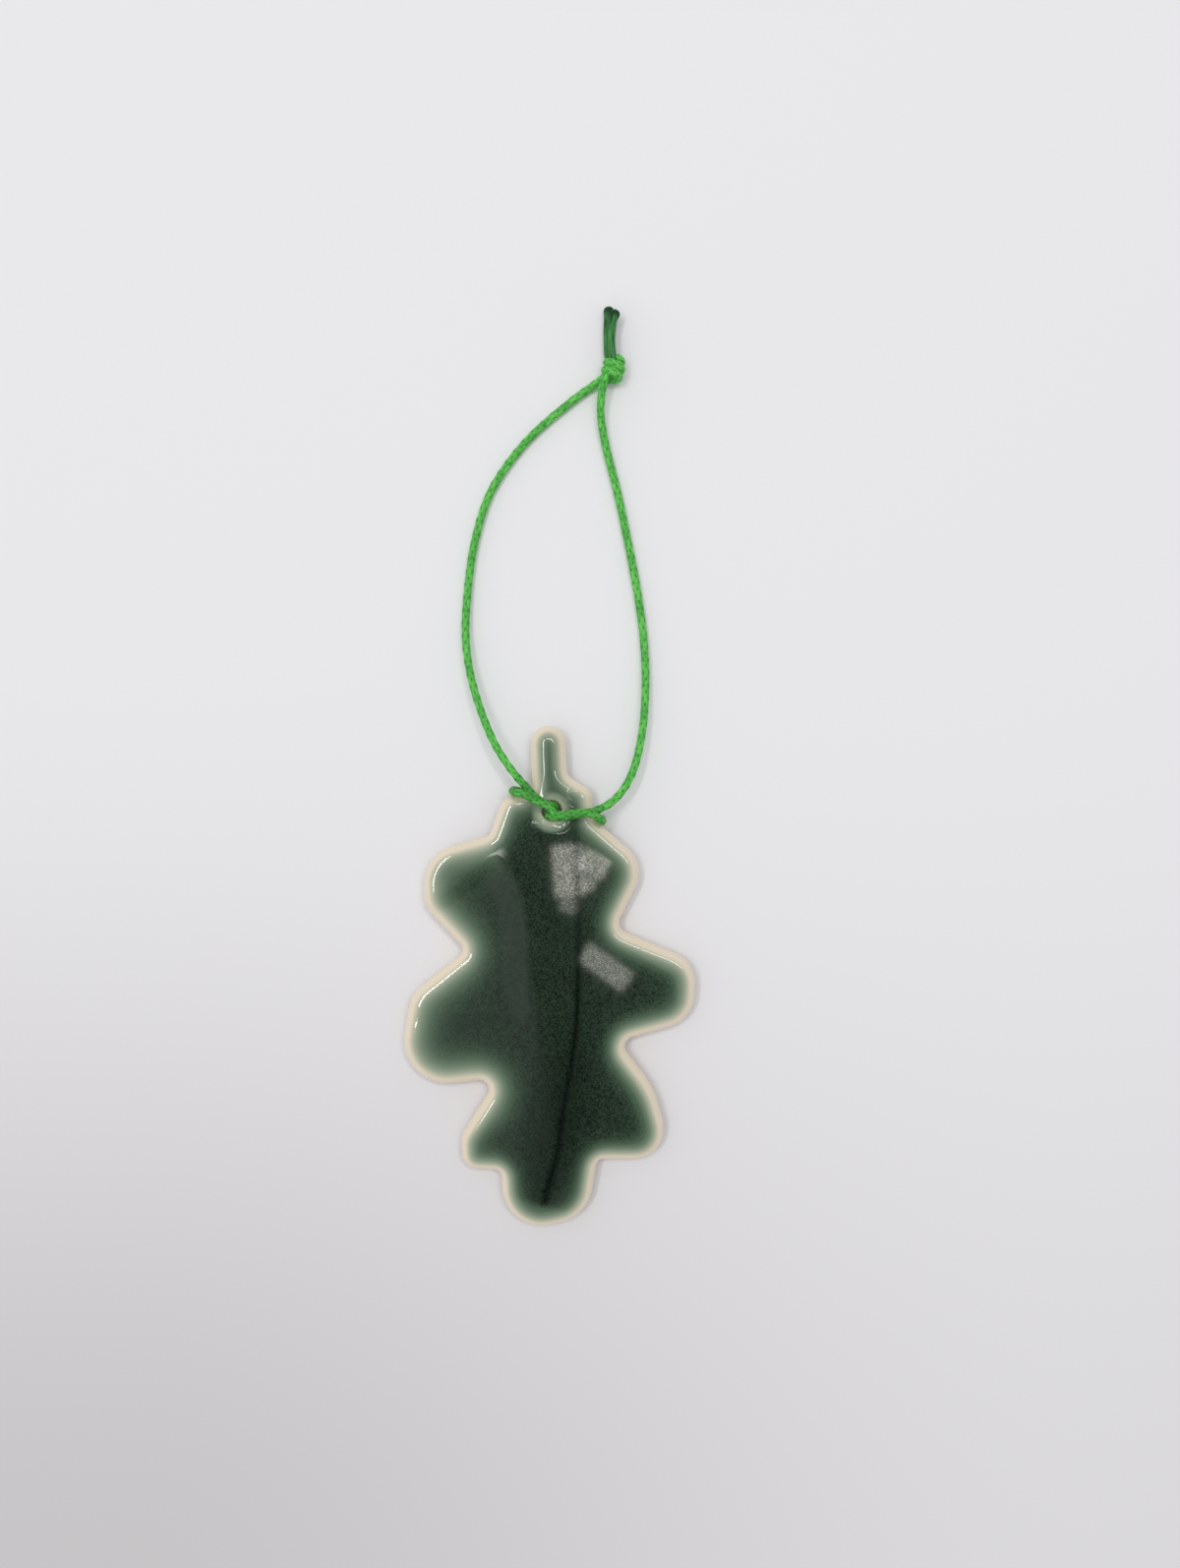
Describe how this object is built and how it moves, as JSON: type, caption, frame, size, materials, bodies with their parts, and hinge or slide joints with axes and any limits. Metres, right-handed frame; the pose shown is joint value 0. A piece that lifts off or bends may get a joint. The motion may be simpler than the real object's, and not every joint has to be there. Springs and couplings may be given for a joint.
{
  "type": "hanging leaf ornament",
  "caption": "Flat lobed leaf plate in glazed porcelain, hung by a cord loop that is hitched through a hole in its neck and knotted at the top.",
  "frame": {"origin": "under the middle of the leaf, on the surface that its flat back rests on", "axes": "+Z out of the glazed front, +Y from the leaf tip towards the stem and the hanging loop, +X to the right as seen from the front"},
  "size_m": [0.0522, 0.1652, 0.008],
  "materials": {
    "porcelain": "fired porcelain, unglazed on the back",
    "glaze": "glossy dark green glaze that breaks to cream over the edge",
    "cord": "bright green braided synthetic cord",
    "cord_end": "dark green heat-sealed cord end"
  },
  "bodies": {
    "leaf": {"leaf_porcelain": "porcelain", "leaf_glaze": "glaze", "cord_hitch": "cord"},
    "loop": {"cord_left_strand": "cord", "cord_right_strand": "cord", "cord_knot": "cord", "cord_left_tail": "cord_end", "cord_right_tail": "cord_end"}
  },
  "joints": [
    {"name": "loop_swing", "type": "hinge", "parent": "leaf", "child": "loop", "pos_m": [0.00215, 0.0335, 0.0049], "axis": [0.9481, -0.3179, 0], "range_deg": [0, 165]}
  ]
}
